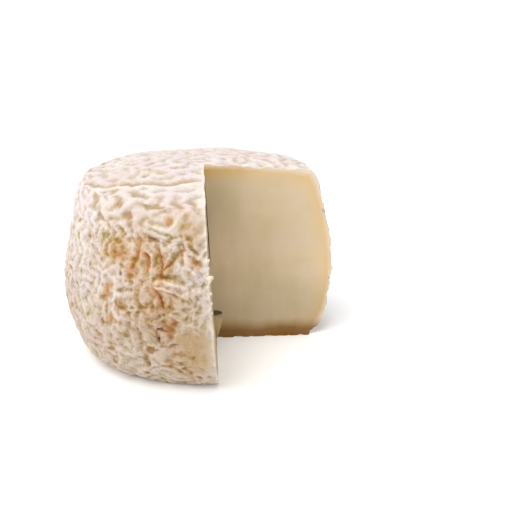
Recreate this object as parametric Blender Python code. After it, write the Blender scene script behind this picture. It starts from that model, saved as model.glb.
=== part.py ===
"""A small ripened goat cheese with a deeply wrinkled rind, standing on its flat underside.

A quarter is cut out of it from the top right down to the board. Metres, +Z up, the origin on the
drum's axis at the level of the underside. The back cut face lies in the plane y = 0.
"""
import math

import bmesh
import bpy
import numpy as np

MM = 0.001

# The drum before it wrinkled
RADIUS = 30.0 * MM
HEIGHT = 40.3 * MM
BELLY_HEIGHT = 14.85 * MM
FOOT_RADIUS = 22.8 * MM
FOOT_ROUNDNESS = 2.15
SUNK = 0.3 * MM
TOP_RADIUS = 24.1 * MM
TOP_ROUNDNESS = 1.64
DOME = 3.36 * MM
PROFILE_STEPS = 400

# The quarter that is cut out
CUT_X_TOP = 1.1 * MM
CUT_LEAN = 2.0 * MM
CUT_BOW = 1.7
CUT_STEPS = 12
CUT_REACH = 45.0 * MM

# The even ball of triangles that becomes the drum
BALL_SUBDIVISIONS = 6
BALL_EDGE_CUTS = 2
MOST_NEIGHBOURS = 6
SHARE_OF_TRIANGLES = 0.078

# Folds: distance from crest to crest, and how deep they are
TOP_FOLD = 2.25 * MM
SIDE_FOLD = 2.1 * MM
LOW_FOLD = 1.75 * MM
FOLD_DEPTH = 1.0 * MM
TOP_DEPTH = 0.8
LOW_DEPTH = 0.75
TOP_PLUMPNESS = 3.0
SIDE_PLUMPNESS = 1.7
LUMP_HEIGHT = 0.25 * MM
LUMP_SIZE = 22.0 * MM
SWAY = 0.22 * MM
SWAY_SIZE = 6.0 * MM
SEED = 7

# Growth of the folds
GROWTH = 0.6
BUMPINESS = 0.4
UNEVENNESS = 0.4
GROWTH_TIME = 4.5

# The eye of the front view, its tilt and turn, and its focus and middle in pixels
VIEW_EYE = np.array((-1.3, -186.4, 89.1)) * MM
VIEW_TILT = math.radians(69.4)
VIEW_TURN = math.radians(-4.1)
VIEW_FOCUS = 900.0
VIEW_CENTRE = 255.0

# Marks in the front view, in its pixels
CREASE_WIDTH = 2.0
CREASES = (
    ((87, 179), (98, 183), (112, 182), (128, 180), (150, 181), (172, 181), (186, 179), (201, 177)),
    ((100, 190), (110, 188), (117, 188)),
    ((130, 193), (138, 195), (146, 192)),
    ((122, 197), (118, 208)),
    ((91, 193), (91, 207)),
    ((135, 203), (145, 205), (162, 206)),
    ((173, 201), (180, 209)),
    ((189, 198), (197, 204)),
    ((122, 213), (130, 219)),
    ((95, 212), (98, 221)),
    ((148, 222), (160, 221), (169, 222)),
    ((136, 238), (135, 250), (131, 262), (128, 277)),
    ((142, 255), (146, 260), (147, 268)),
    ((157, 253), (160, 264), (161, 280)),
    ((161, 272), (169, 266)),
    ((152, 288), (158, 297), (165, 311)),
    ((181, 253), (182, 269)),
    ((162, 281), (174, 280), (183, 286)),
    ((171, 296), (180, 299), (193, 303)),
    ((146, 304), (140, 312), (136, 319)),
    ((106, 285), (102, 292), (99, 299)),
    ((88, 284), (86, 293)),
    ((166, 334), (157, 331), (153, 336), (155, 343)),
    ((177, 325), (169, 330), (171, 339)),
    ((142, 343), (147, 350), (152, 354)),
    ((121, 336), (126, 341)),
)
CREST_WIDTH = 2.0
CRESTS = (
    ((86, 184), (100, 187), (112, 184), (130, 184), (152, 183), (162, 182), (172, 184), (201, 180)),
    ((188, 209), (182, 214), (174, 224), (165, 229), (150, 225)),
    ((119, 222), (123, 231)),
    ((141, 252), (149, 257), (150, 266), (149, 283)),
    ((184, 256), (185, 268), (192, 275)),
    ((154, 284), (172, 283), (190, 289)),
    ((152, 286), (161, 290), (172, 289), (186, 295)),
    ((110, 268), (102, 272), (98, 284), (94, 297)),
    ((111, 279), (112, 310), (118, 321)),
)
PITS = (
    (120, 229, 3), (103, 236, 4), (114, 243, 4), (118, 255, 4), (153, 241, 4), (195, 264, 5),
    (191, 248, 3), (188, 237, 3), (154, 278, 4), (118, 292, 3), (121, 308, 4), (127, 314, 3),
    (155, 341, 3), (126, 328, 3), (145, 360, 4), (168, 369, 4), (185, 371, 3), (109, 349, 3),
)
SMOOTH_PATCHES = ((197, 343, 17, 14), (203, 361, 12, 13), (163, 359, 6, 8))


def drum_profile():
    """Radius and height along the side, from the middle of the top to the middle of the underside."""
    turn = np.linspace(0, math.pi / 2, PROFILE_STEPS)
    across, along = np.cos(turn), np.sin(turn)
    foot_r = FOOT_RADIUS + (RADIUS - FOOT_RADIUS) * across ** (2 / FOOT_ROUNDNESS)
    foot_z = BELLY_HEIGHT - (BELLY_HEIGHT + SUNK) * along ** (2 / FOOT_ROUNDNESS)
    shoulder = HEIGHT - DOME - BELLY_HEIGHT
    side_r = TOP_RADIUS + (RADIUS - TOP_RADIUS) * across ** (2 / TOP_ROUNDNESS)
    side_z = BELLY_HEIGHT + shoulder * along ** (2 / TOP_ROUNDNESS)
    under_r = np.linspace(0, FOOT_RADIUS, PROFILE_STEPS)[:-1]
    top_r = np.linspace(TOP_RADIUS, 0, PROFILE_STEPS)[1:]
    r = np.concatenate([under_r, foot_r[::-1], side_r[1:], top_r])
    z = np.concatenate([0 * under_r - SUNK, foot_z[::-1], side_z[1:], 0 * top_r + BELLY_HEIGHT + shoulder])
    z = z + np.where(z > BELLY_HEIGHT, DOME * (1 - (r / RADIUS) ** 2), 0)
    return r[::-1], z[::-1]


def even_ball():
    """A ball of nearly equal triangles."""
    bm = bmesh.new()
    bmesh.ops.create_icosphere(bm, subdivisions=BALL_SUBDIVISIONS, radius=1.0)
    bmesh.ops.subdivide_edges(bm, edges=bm.edges[:], cuts=BALL_EDGE_CUTS, use_grid_fill=True)
    mesh = bpy.data.meshes.new("crottin")
    bm.to_mesh(mesh)
    bm.free()
    return mesh


def corners(mesh):
    """The mesh's vertices as rows of x, y and z."""
    flat = np.empty(len(mesh.vertices) * 3)
    mesh.vertices.foreach_get("co", flat)
    return flat.reshape(-1, 3)


def press_into_drum(ball):
    """Each point of the ball moved to the drum, with equal areas kept equal, and its normal there."""
    r, z = drum_profile()
    step = np.hypot(np.diff(r), np.diff(z))
    belt = np.concatenate([[0], np.cumsum(step * (r[1:] + r[:-1]) / 2)])
    place = np.concatenate([[0], np.cumsum(step)])
    unit = ball / np.linalg.norm(ball, axis=1)[:, None]
    angle = np.arctan2(unit[:, 1], unit[:, 0])
    along = np.interp((1 - unit[:, 2]) / 2 * belt[-1], belt, place)
    point_r, point_z = np.interp(along, place, r), np.interp(along, place, z)
    slope_r, slope_z = np.gradient(r, place), np.gradient(z, place)
    out, up = -np.interp(along, place, slope_z), np.interp(along, place, slope_r)
    size = np.hypot(out, up)
    round_x, round_y = np.cos(angle), np.sin(angle)
    points = np.stack([point_r * round_x, point_r * round_y, point_z], 1)
    normals = np.stack([out * round_x, out * round_y, up], 1) / size[:, None]
    return points, normals


def neighbours(mesh):
    """For each vertex the vertices one edge away, filled up with the vertex itself."""
    ends = np.empty(len(mesh.edges) * 2, dtype=np.int64)
    mesh.edges.foreach_get("vertices", ends)
    ends = ends.reshape(-1, 2)
    near = np.concatenate([ends, ends[:, ::-1]])
    near = near[np.argsort(near[:, 0], kind="stable")]
    count = np.bincount(near[:, 0], minlength=len(mesh.vertices))
    first = np.concatenate([[0], np.cumsum(count)[:-1]])
    slot = np.arange(len(near)) - first[near[:, 0]]
    table = np.repeat(np.arange(len(mesh.vertices))[:, None], MOST_NEIGHBOURS, axis=1)
    table[near[:, 0], slot] = near[:, 1]
    return table


def soft_noise(points, size, seed, waves=24):
    """A smooth random field with bumps of about the given size, from waves in random directions."""
    rng = np.random.RandomState(seed)
    way = rng.standard_normal((waves, 3))
    way *= 2 * math.pi / size * rng.uniform(0.6, 1.4, (waves, 1)) / np.linalg.norm(way, axis=1)[:, None]
    phase = rng.uniform(0, 2 * math.pi, waves)
    return np.cos(points @ way.T + phase).sum(1) / math.sqrt(waves / 2)


def between(value, low, high):
    """0 below low, 1 above high, and a smooth step from one to the other."""
    share = np.clip((value - low) / (high - low), 0, 1)
    return share * share * (3 - 2 * share)


def front_view(points, normals):
    """Pixels of the points in the front view, and how squarely they face it, from 0 to 1."""
    right = np.array((math.cos(VIEW_TURN), math.sin(VIEW_TURN), 0))
    ahead = np.array((-math.sin(VIEW_TURN), math.cos(VIEW_TURN), 0)) * math.sin(VIEW_TILT)
    ahead[2] = -math.cos(VIEW_TILT)
    upward = np.cross(right, ahead)
    ray = points - VIEW_EYE
    depth = ray @ ahead
    pixels = np.stack([VIEW_CENTRE + VIEW_FOCUS * (ray @ right) / depth,
                       VIEW_CENTRE - VIEW_FOCUS * (ray @ upward) / depth], 1)
    facing = -np.einsum("ij,ij->i", ray, normals) / np.linalg.norm(ray, axis=1)
    return pixels, between(facing, 0.12, 0.4)


def near_lines(pixels, lines, width):
    """1 on the given lines of the front view, falling to 0 at about twice their width."""
    closest = np.full(len(pixels), np.inf)
    for line in lines:
        for start, end in zip(np.array(line[:-1], float), np.array(line[1:], float)):
            run = end - start
            share = np.clip((pixels - start) @ run / (run @ run), 0, 1)
            gap = np.linalg.norm(pixels - start - share[:, None] * run, axis=1)
            closest = np.minimum(closest, gap)
    return np.exp(-(closest / width) ** 2)


def near_spots(pixels, spots):
    """1 in the middle of the given round spots of the front view, falling off beyond their radius."""
    field = np.zeros(len(pixels))
    for x, y, radius in spots:
        gap = np.linalg.norm(pixels - (x, y), axis=1)
        field = np.maximum(field, np.exp(-(gap / radius) ** 2))
    return field


def near_patches(pixels, patches):
    """1 inside the given ellipses of the front view, 0 outside, with a soft edge."""
    field = np.zeros(len(pixels))
    for x, y, half_width, half_height in patches:
        reach = np.hypot((pixels[:, 0] - x) / half_width, (pixels[:, 1] - y) / half_height)
        field = np.maximum(field, 1 - between(reach, 0.85, 1.15))
    return field


def grow_folds(points, table, spacing, stretch, growth, push):
    """Let a random start settle into folds of the given spacing: a Swift-Hohenberg pattern.

    The stretch draws folds out round the drum where it is positive, up and down where negative.
    The push is a steady force that holds crests and creases in place.
    """
    rng = np.random.RandomState(SEED)
    edge = points[table] - points[:, None, :]
    square = (edge ** 2).sum(2)
    real = table != np.arange(len(points))[:, None]
    mean_square = np.maximum(square.sum(1) / real.sum(1), (0.35 * MM) ** 2)
    round_way = np.stack([-points[:, 1], points[:, 0], 0 * points[:, 0]], 1)
    round_way /= np.linalg.norm(round_way, axis=1)[:, None] + 1e-9
    lined_up = np.einsum("ijk,ik->ij", edge, round_way) / np.sqrt(square + 1e-18)
    weight = (1 + stretch[:, None] * (2 * lined_up ** 2 - 1)) * real
    weight *= (4 / weight.sum(1) / mean_square * (spacing / (2 * math.pi)) ** 2)[:, None]
    total = weight.sum(1)

    def curve(field):
        return np.einsum("ij,ij->i", weight, field[table]) - total * field

    step = min(0.1, 1.7 / (1.6 * total.max() - 1) ** 2)
    noise = rng.standard_normal(len(points))
    fold = UNEVENNESS * noise + 0.5 * push
    force = UNEVENNESS * rng.standard_normal(len(points)) + push
    for _ in range(int(GROWTH_TIME / step)):
        bend = curve(fold)
        change = growth * fold - (fold + 2 * bend + curve(bend)) + BUMPINESS * fold ** 2 - fold ** 3
        fold = np.clip(fold + step * (change + force), -1.8, 1.8)
    return fold


def level(field):
    """The field centred on 0, with most of it between -1 and 1."""
    centred = field - field.mean()
    return np.clip(centred / np.percentile(np.abs(centred), 90), -1.3, 1.3)


def rind_relief(points, normals, table):
    """How far each point of the rind lies inside the smooth drum, as a negative height."""
    pixels, seen = front_view(points, normals)
    crease = seen * near_lines(pixels, CREASES, CREASE_WIDTH)
    crest = seen * near_lines(pixels, CRESTS, CREST_WIDTH)
    pit = seen * near_spots(pixels, PITS)
    smooth = seen * near_patches(pixels, SMOOTH_PATCHES)
    on_top = between(normals[:, 2], 0.35, 0.8)
    low = 1 - between(points[:, 2], 5 * MM, 14 * MM)
    spacing = SIDE_FOLD + (TOP_FOLD - SIDE_FOLD) * on_top + (LOW_FOLD - SIDE_FOLD) * low
    spacing *= 1 + 0.15 * np.clip(soft_noise(points, 9 * MM, SEED + 1), -1.2, 1.2)
    stretch = 0.35 * on_top + 0.2 * np.clip(soft_noise(points, 11 * MM, SEED + 2), -1, 1)
    long_lines = np.exp(-(soft_noise(points, 13 * MM, SEED + 3) / 0.07) ** 2)
    long_lines *= np.sign(soft_noise(points, 25 * MM, SEED + 4)) * (1 - seen)
    push = 1.4 * crest - 1.4 * np.maximum(crease, pit) + 0.6 * long_lines
    folds = grow_folds(points, table, spacing, stretch, GROWTH * (1 - 2.5 * smooth), push)
    hollow = (1 - np.clip(level(folds), -1, 1)) / 2
    plumpness = SIDE_PLUMPNESS + (TOP_PLUMPNESS - SIDE_PLUMPNESS) * between(points[:, 2], 24 * MM, 32 * MM)
    height = -hollow ** plumpness - 0.35 * crease - 0.45 * pit
    depth = FOLD_DEPTH * (1 + (TOP_DEPTH - 1) * on_top + (LOW_DEPTH - 1) * low)
    depth *= (1 + 0.15 * soft_noise(points, 12 * MM, SEED + 6)) * (1 - 0.92 * smooth)
    lumps = LUMP_HEIGHT * np.minimum(soft_noise(points, LUMP_SIZE, SEED + 7) - 1, 0)
    underside = (1 - between(points[:, 2], -SUNK, SUNK))
    return (height * depth + lumps) * (1 - underside)


def wrinkled_drum():
    """The whole drum with its folds, before it is cut."""
    mesh = even_ball()
    points, normals = press_into_drum(corners(mesh))
    table = neighbours(mesh)
    relief = rind_relief(points, normals, table)
    sway = np.stack([soft_noise(points, SWAY_SIZE, SEED + 10 + axis) for axis in range(3)], 1) * SWAY
    sway -= normals * np.einsum("ij,ij->i", sway, normals)[:, None]
    sway *= between(points[:, 2], -SUNK, 3 * MM)[:, None]
    moved = points + normals * relief[:, None] + sway
    mesh.vertices.foreach_set("co", moved.ravel())
    mesh.update()
    drum = bpy.data.objects.new("crottin", mesh)
    bpy.context.scene.collection.objects.link(drum)
    return drum


def quarter_cutter():
    """A guide solid: the quarter that is cut out, with the bowed left face of the first cut."""
    bm = bmesh.new()
    bmesh.ops.create_cube(bm, size=1.0)
    rising = [edge for edge in bm.edges if abs(edge.verts[0].co.z - edge.verts[1].co.z) > 0.5]
    bmesh.ops.subdivide_edges(bm, edges=rising, cuts=CUT_STEPS - 1)
    for vert in bm.verts:
        share = (vert.co.z + 0.5) * 1.2 - 0.1
        left = CUT_X_TOP + CUT_LEAN * abs(1 - share) ** CUT_BOW
        vert.co.x = left if vert.co.x < 0 else CUT_REACH
        vert.co.y = 0.0 if vert.co.y > 0 else -CUT_REACH
        vert.co.z = share * HEIGHT
    return guide_solid("quarter_cutter", bm)


def board_cutter():
    """A guide solid: the flat board, which takes off what would reach below it."""
    bm = bmesh.new()
    bmesh.ops.create_cube(bm, size=2 * CUT_REACH)
    bmesh.ops.translate(bm, verts=bm.verts, vec=(0, 0, -CUT_REACH))
    return guide_solid("board_cutter", bm)


def guide_solid(name, bm):
    """The object of a cutter, which isn't part of the cheese."""
    mesh = bpy.data.meshes.new(name)
    bm.to_mesh(mesh)
    bm.free()
    cutter = bpy.data.objects.new(name, mesh)
    cutter.hide_render = True
    cutter.display_type = "WIRE"
    bpy.context.scene.collection.objects.link(cutter)
    return cutter


def thin_out(thing):
    """Fewer triangles, largest where the surface is plainest."""
    thin = thing.modifiers.new("fewer_triangles", "DECIMATE")
    thin.decimate_type = "COLLAPSE"
    thin.ratio = SHARE_OF_TRIANGLES


def cut(thing, cutter):
    """Take the cutter's space out of the thing."""
    boolean = thing.modifiers.new(cutter.name, "BOOLEAN")
    boolean.operation = "DIFFERENCE"
    boolean.object = cutter
    boolean.solver = "EXACT"


def rind_material():
    """The pale, dry, dusty rind."""
    material = bpy.data.materials.new("rind")
    material.use_nodes = True
    shader = material.node_tree.nodes["Principled BSDF"]
    shader.inputs["Base Color"].default_value = (0.78, 0.70, 0.60, 1.0)
    shader.inputs["Roughness"].default_value = 0.8
    shader.inputs["Metallic"].default_value = 0.0
    return material


def main():
    for thing in list(bpy.data.objects):
        bpy.data.objects.remove(thing, do_unlink=True)
    drum = wrinkled_drum()
    drum.data.materials.append(rind_material())
    drum.data.shade_smooth()
    thin_out(drum)
    cut(drum, board_cutter())
    cut(drum, quarter_cutter())


main()
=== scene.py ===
# %% [markdown]
# # A small ripened goat cheese with a quarter cut out
#
# The real thing is a drum of goat's milk paste about six centimetres across. As it dries and
# ripens, its soft white skin keeps growing while the paste under it shrinks, so the skin buckles
# into plump folds, like the skin on cooled milk. A knife has taken out a quarter and shows the
# smooth ivory paste, with a golden line just under the rind.
#
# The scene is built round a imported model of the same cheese, which stays fixed. This script adds
# the fine surface, the colours, the light and the camera.

import math

import bmesh
import bpy
import numpy as np
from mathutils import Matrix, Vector


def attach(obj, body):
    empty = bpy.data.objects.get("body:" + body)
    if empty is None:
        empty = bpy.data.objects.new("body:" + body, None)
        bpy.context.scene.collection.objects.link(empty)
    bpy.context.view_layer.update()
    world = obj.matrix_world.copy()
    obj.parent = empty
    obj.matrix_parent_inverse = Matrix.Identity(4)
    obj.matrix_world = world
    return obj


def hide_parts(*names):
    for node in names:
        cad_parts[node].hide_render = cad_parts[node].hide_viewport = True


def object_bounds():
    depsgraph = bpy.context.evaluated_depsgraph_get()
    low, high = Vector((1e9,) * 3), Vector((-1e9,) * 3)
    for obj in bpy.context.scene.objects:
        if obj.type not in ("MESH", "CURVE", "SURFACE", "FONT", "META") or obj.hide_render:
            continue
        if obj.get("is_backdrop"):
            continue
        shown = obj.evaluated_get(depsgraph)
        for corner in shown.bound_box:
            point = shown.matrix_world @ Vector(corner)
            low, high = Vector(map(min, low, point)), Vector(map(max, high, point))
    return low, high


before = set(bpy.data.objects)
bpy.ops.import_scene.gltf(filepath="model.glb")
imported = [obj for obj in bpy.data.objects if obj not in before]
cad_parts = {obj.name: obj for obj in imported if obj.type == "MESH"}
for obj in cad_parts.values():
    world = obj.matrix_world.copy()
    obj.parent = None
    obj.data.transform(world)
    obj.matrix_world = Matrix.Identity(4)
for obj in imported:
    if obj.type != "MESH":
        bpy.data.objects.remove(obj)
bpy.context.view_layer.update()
MM = 0.001

# %% [markdown]
# ## The camera
#
# A photographer stood close and looked down at the drum by about twenty degrees. We could place a
# camera by eye, but a drum's outline fixes the view well: the ellipse of its top gives the tilt,
# and the spread of its sides gives the distance. The same view is used further on to place
# creases where they were seen, so its numbers are kept as named values.

# %% Place the camera
VIEW_EYE = np.array((-1.3, -186.4, 89.1)) * MM
VIEW_TILT = math.radians(69.4)
VIEW_TURN = math.radians(-4.1)
VIEW_FOCUS = 900.0
VIEW_SIZE = 510.0
SENSOR = 36.0
NEAREST_SEEN = 0.01

camera_data = bpy.data.cameras.new("camera")
camera_data.sensor_width = SENSOR
camera_data.lens = SENSOR * VIEW_FOCUS / VIEW_SIZE
camera_data.clip_start = NEAREST_SEEN
camera = bpy.data.objects.new("camera", camera_data)
camera.location = VIEW_EYE
camera.rotation_euler = (VIEW_TILT, 0, VIEW_TURN)
bpy.context.scene.collection.objects.link(camera)
bpy.context.scene.camera = camera
print("lens, mm:", round(camera_data.lens, 1))

# %% [markdown]
# ## Floor and light
#
# A white cheese on a white table wants light from everywhere, or its folds turn grey. The sky
# gives much of it. One broad soft sun high up on the left models the folds, and a small lamp low
# down on the left opens their shadows. Behind the cheese the camera sees plain white. The floor
# is a pale plane that glows a little, so that it fades into that white.

# %% Lay the floor
WHITE = (1.0, 1.0, 1.0, 1.0)
FLOOR_COLOUR = (0.95, 0.95, 0.955, 1.0)
FLOOR_ROUGHNESS = 0.35
FLOOR_GLOW = 0.12
FLOOR_REACH = 6.0


def object_from(bm, name, *finishes):
    """Turn a bmesh into an object in the scene, with the given materials."""
    mesh = bpy.data.meshes.new(name)
    bm.to_mesh(mesh)
    bm.free()
    for finish in finishes:
        mesh.materials.append(finish)
    thing = bpy.data.objects.new(name, mesh)
    bpy.context.scene.collection.objects.link(thing)
    return thing


floor_bm = bmesh.new()
bmesh.ops.create_grid(floor_bm, x_segments=1, y_segments=1, size=FLOOR_REACH)
pale_floor = bpy.data.materials.new("pale_floor")
pale_floor.use_nodes = True
surface = pale_floor.node_tree.nodes["Principled BSDF"].inputs
surface["Base Color"].default_value = FLOOR_COLOUR
surface["Roughness"].default_value = FLOOR_ROUGHNESS
surface["Emission Color"].default_value = WHITE
surface["Emission Strength"].default_value = FLOOR_GLOW
floor = object_from(floor_bm, "floor", pale_floor)
floor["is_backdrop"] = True
print("floor:", floor.dimensions.x, "m wide")

# %% Make the sky, and plain white behind the cheese
SKY_STRENGTH = 0.54


def make(tree, kind, inputs, **settings):
    """Add a shader node with its settings, set or link its inputs, and give back its outputs."""
    node = tree.nodes.new("ShaderNode" + kind)
    for name, value in settings.items():
        setattr(node, name, value)
    for name, value in inputs.items():
        if isinstance(value, bpy.types.NodeSocket):
            tree.links.new(value, node.inputs[name])
        else:
            node.inputs[name].default_value = value
    return node.outputs


world = bpy.data.worlds.new("soft_sky")
world.use_nodes = True
tree = world.node_tree
sky = tree.nodes["Background"]
sky.inputs["Color"].default_value = WHITE
sky.inputs["Strength"].default_value = SKY_STRENGTH
backdrop = make(tree, "Background", {"Color": WHITE})
ray_kind = make(tree, "LightPath", {})
chooser = make(tree, "MixShader", {
    "Fac": ray_kind["Is Camera Ray"], 1: sky.outputs["Background"], 2: backdrop["Background"]})
tree.links.new(chooser["Shader"], tree.nodes["World Output"].inputs["Surface"])
bpy.context.scene.world = world
print("sky nodes:", len(tree.nodes))

# %% Hang the sun and the lamp
SUN_STRENGTH = 2.75
SUN_SOFTNESS = math.radians(60)
SUN_FROM = Vector((-0.34, -0.2, 0.92))
FILL_FROM = Vector((-220, -160, 110)) * MM
FILL_SIZE = 120 * MM
FILL_POWER = 0.022


def add_light(name, kind, strength, source):
    """A light that shines from the source's side on the middle of the floor."""
    light = bpy.data.objects.new(name, bpy.data.lights.new(name, kind))
    light.data.energy = strength
    light.rotation_euler = (-source).to_track_quat("-Z", "Y").to_euler()
    bpy.context.scene.collection.objects.link(light)
    return light


sun = add_light("sun", "SUN", SUN_STRENGTH, SUN_FROM)
sun.data.angle = SUN_SOFTNESS
fill = add_light("low_fill", "AREA", FILL_POWER, FILL_FROM)
fill.data.size = FILL_SIZE
fill.location = FILL_FROM
bpy.context.scene.view_settings.view_transform = "Standard"
print("sun stands", round(math.degrees(math.atan2(SUN_FROM.z, SUN_FROM.xy.length))), "degrees high")

# %% [markdown]
# ## The smooth drum
#
# Before it wrinkled, the cheese was a plain drum with a domed top, a full belly and a soft foot.
# One turned outline describes it. A lathe would give long thin triangles near the middle of the
# top, though, and folds need triangles of one size all over. So we take a ball of even triangles
# and press it into the drum, band by band, in such a way that equal areas stay equal.

# %% Describe the outline
RADIUS = 30.0 * MM
BELLY_HEIGHT = 14.85 * MM
FOOT_RADIUS = 22.8 * MM
FOOT_ROUNDNESS = 2.15
SUNK = 0.3 * MM
TOP_RADIUS = 24.1 * MM
TOP_ROUNDNESS = 1.64
DOME = 3.36 * MM
FULL_HEIGHT = 40.3 * MM
PROFILE_STEPS = 400


def drum_profile():
    """Radius and height along the side, from the middle of the top to the middle of the underside."""
    turn = np.linspace(0, math.pi / 2, PROFILE_STEPS)
    across, along = np.cos(turn), np.sin(turn)
    foot_r = FOOT_RADIUS + (RADIUS - FOOT_RADIUS) * across ** (2 / FOOT_ROUNDNESS)
    foot_z = BELLY_HEIGHT - (BELLY_HEIGHT + SUNK) * along ** (2 / FOOT_ROUNDNESS)
    shoulder = FULL_HEIGHT - DOME - BELLY_HEIGHT
    side_r = TOP_RADIUS + (RADIUS - TOP_RADIUS) * across ** (2 / TOP_ROUNDNESS)
    side_z = BELLY_HEIGHT + shoulder * along ** (2 / TOP_ROUNDNESS)
    under_r = np.linspace(0, FOOT_RADIUS, PROFILE_STEPS)[:-1]
    top_r = np.linspace(TOP_RADIUS, 0, PROFILE_STEPS)[1:]
    r = np.concatenate([under_r, foot_r[::-1], side_r[1:], top_r])
    under_z = np.full(len(under_r), -SUNK)
    top_z = np.full(len(top_r), BELLY_HEIGHT + shoulder)
    z = np.concatenate([under_z, foot_z[::-1], side_z[1:], top_z])
    z = z + np.where(z > BELLY_HEIGHT, DOME * (1 - (r / RADIUS) ** 2), 0)
    return r[::-1], z[::-1]


outline_r, outline_z = drum_profile()
print("outline:", len(outline_r), "points,", round(2 * outline_r.max() / MM, 1), "mm across")

# %% Make the even ball
BALL_SUBDIVISIONS = 3
BALL_EDGE_CUTS = 26

ball_bm = bmesh.new()
bmesh.ops.create_icosphere(ball_bm, subdivisions=BALL_SUBDIVISIONS, radius=1.0)
bmesh.ops.subdivide_edges(ball_bm, edges=ball_bm.edges[:], cuts=BALL_EDGE_CUTS, use_grid_fill=True)
rind = bpy.data.materials.new("wrinkled_rind")
paste = bpy.data.materials.new("ivory_paste")
drum = object_from(ball_bm, "crottin_drum", rind, paste)
print("ball:", len(drum.data.polygons), "triangles")

# %% Press it into the drum
UNDERSIDE_SHARE = 0.15
TOP_SHARE = 0.7


def corners(mesh):
    """The mesh's vertices as rows of x, y and z."""
    flat = np.empty(len(mesh.vertices) * 3)
    mesh.vertices.foreach_get("co", flat)
    return flat.reshape(-1, 3)


def press_into_drum(ball):
    """Each point of the ball moved to the drum, and its normal there.

    Equal areas stay equal, except that the top has broader folds and the underside hardly
    shows, so they get larger triangles.
    """
    r, z = outline_r, outline_z
    step = np.hypot(np.diff(r), np.diff(z))
    share = np.where(z[1:] > -SUNK, np.where(r[1:] < TOP_RADIUS, TOP_SHARE, 1), UNDERSIDE_SHARE)
    belt = np.concatenate([[0], np.cumsum(share * step * (r[1:] + r[:-1]) / 2)])
    place = np.concatenate([[0], np.cumsum(step)])
    unit = ball / np.linalg.norm(ball, axis=1)[:, None]
    angle = np.arctan2(unit[:, 1], unit[:, 0])
    along = np.interp((1 - unit[:, 2]) / 2 * belt[-1], belt, place)
    point_r, point_z = np.interp(along, place, r), np.interp(along, place, z)
    slope_r, slope_z = np.gradient(r, place), np.gradient(z, place)
    out, up = -np.interp(along, place, slope_z), np.interp(along, place, slope_r)
    round_x, round_y = np.cos(angle), np.sin(angle)
    points = np.stack([point_r * round_x, point_r * round_y, point_z], 1)
    normals = np.stack([out * round_x, out * round_y, up], 1) / np.hypot(out, up)[:, None]
    return points, normals


points, normals = press_into_drum(corners(drum.data))
print("drum, mm:", np.round(points.min(0) / MM, 1), np.round(points.max(0) / MM, 1))

# %% [markdown]
# ## Where the marks are
#
# Some marks are too large to leave to chance: the long crease and crest round the shoulder, the
# upright cracks in the middle, the larger pits and dents, one open hole and the smooth patch
# beside the cut. They were read off the front view, so they are kept as picture points,
# and each point of the drum is looked up in the same view. Only what faces the camera takes
# part, so nothing is printed on the back.

# %% Note the creases and the cracks
CREASE_WIDTH = 2.0
MIDDLE_CRACKS = (
    ((157, 253), (160, 264), (161, 280)),
    ((161, 272), (169, 266)),
    ((152, 288), (158, 297), (165, 311)),
)
CREASES = (
    *MIDDLE_CRACKS,
    ((87, 180), (92, 182), (98, 181), (103, 183), (108, 184), (114, 182), (121, 183), (128, 181),
     (135, 182), (142, 180), (150, 182), (158, 180), (166, 182), (174, 181), (182, 179), (201, 178)),
    ((100, 190), (110, 188), (117, 188)),
    ((130, 193), (138, 195), (146, 192)),
    ((122, 197), (118, 208)),
    ((91, 193), (91, 207)),
    ((135, 203), (145, 205), (162, 206)),
    ((173, 201), (180, 209)),
    ((189, 198), (197, 204)),
    ((122, 213), (130, 219)),
    ((95, 212), (98, 221)),
    ((136, 238), (135, 250), (131, 262), (128, 277)),
    ((142, 255), (146, 260), (147, 268)),
    ((181, 253), (182, 269)),
    ((160, 278), (168, 277), (176, 280), (184, 285)),
    ((171, 296), (180, 299), (193, 303)),
    ((146, 304), (140, 312), (136, 319)),
    ((106, 285), (102, 292), (99, 299)),
    ((88, 284), (86, 293)),
    ((166, 334), (157, 331), (153, 336), (155, 343)),
    ((177, 325), (169, 330), (171, 339)),
    ((142, 343), (147, 350), (152, 354)),
    ((121, 336), (126, 341)),
)
CRACK_WIDTH = 0.95
CRACKS = (
    *MIDDLE_CRACKS,
    ((142, 255), (147, 259), (148, 266)),
    ((166, 334), (157, 331), (153, 336), (155, 343)),
    ((161, 278), (172, 278)),
)
HOLES = ((154, 341, 1.6),)
print("marks:", len(CREASES), "creases and", len(CRACKS), "cracks")

# %% Note the crests, the pits and the patches
CREST_WIDTH = 2.0
RIDGE_WIDTH = 1.2
CRESTS = (
    ((86, 184), (92, 186), (100, 188), (108, 186), (114, 184), (122, 186), (130, 184), (138, 186),
     (146, 183), (154, 185), (162, 183), (172, 185), (180, 182), (190, 183), (201, 180)),
    ((188, 209), (182, 214), (174, 224), (165, 229), (150, 225)),
    ((119, 222), (123, 231)),
    ((141, 252), (149, 257), (150, 266), (149, 283)),
    ((184, 256), (185, 268), (192, 275)),
    ((152, 284), (160, 281), (170, 283), (180, 287), (188, 292), (185, 296)),
    ((153, 288), (163, 290), (173, 295), (183, 297)),
    ((110, 268), (102, 272), (98, 284), (94, 297)),
    ((111, 279), (112, 310), (118, 321)),
)
PITS = (
    (120, 229, 3), (103, 236, 4), (114, 243, 4), (118, 255, 4), (153, 241, 4), (195, 264, 5),
    (191, 248, 3), (188, 237, 3), (154, 278, 4), (118, 292, 3), (121, 308, 4), (127, 314, 3),
    (155, 341, 3), (126, 328, 3), (145, 360, 4), (168, 369, 4), (185, 371, 3), (109, 349, 3),
)
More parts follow.
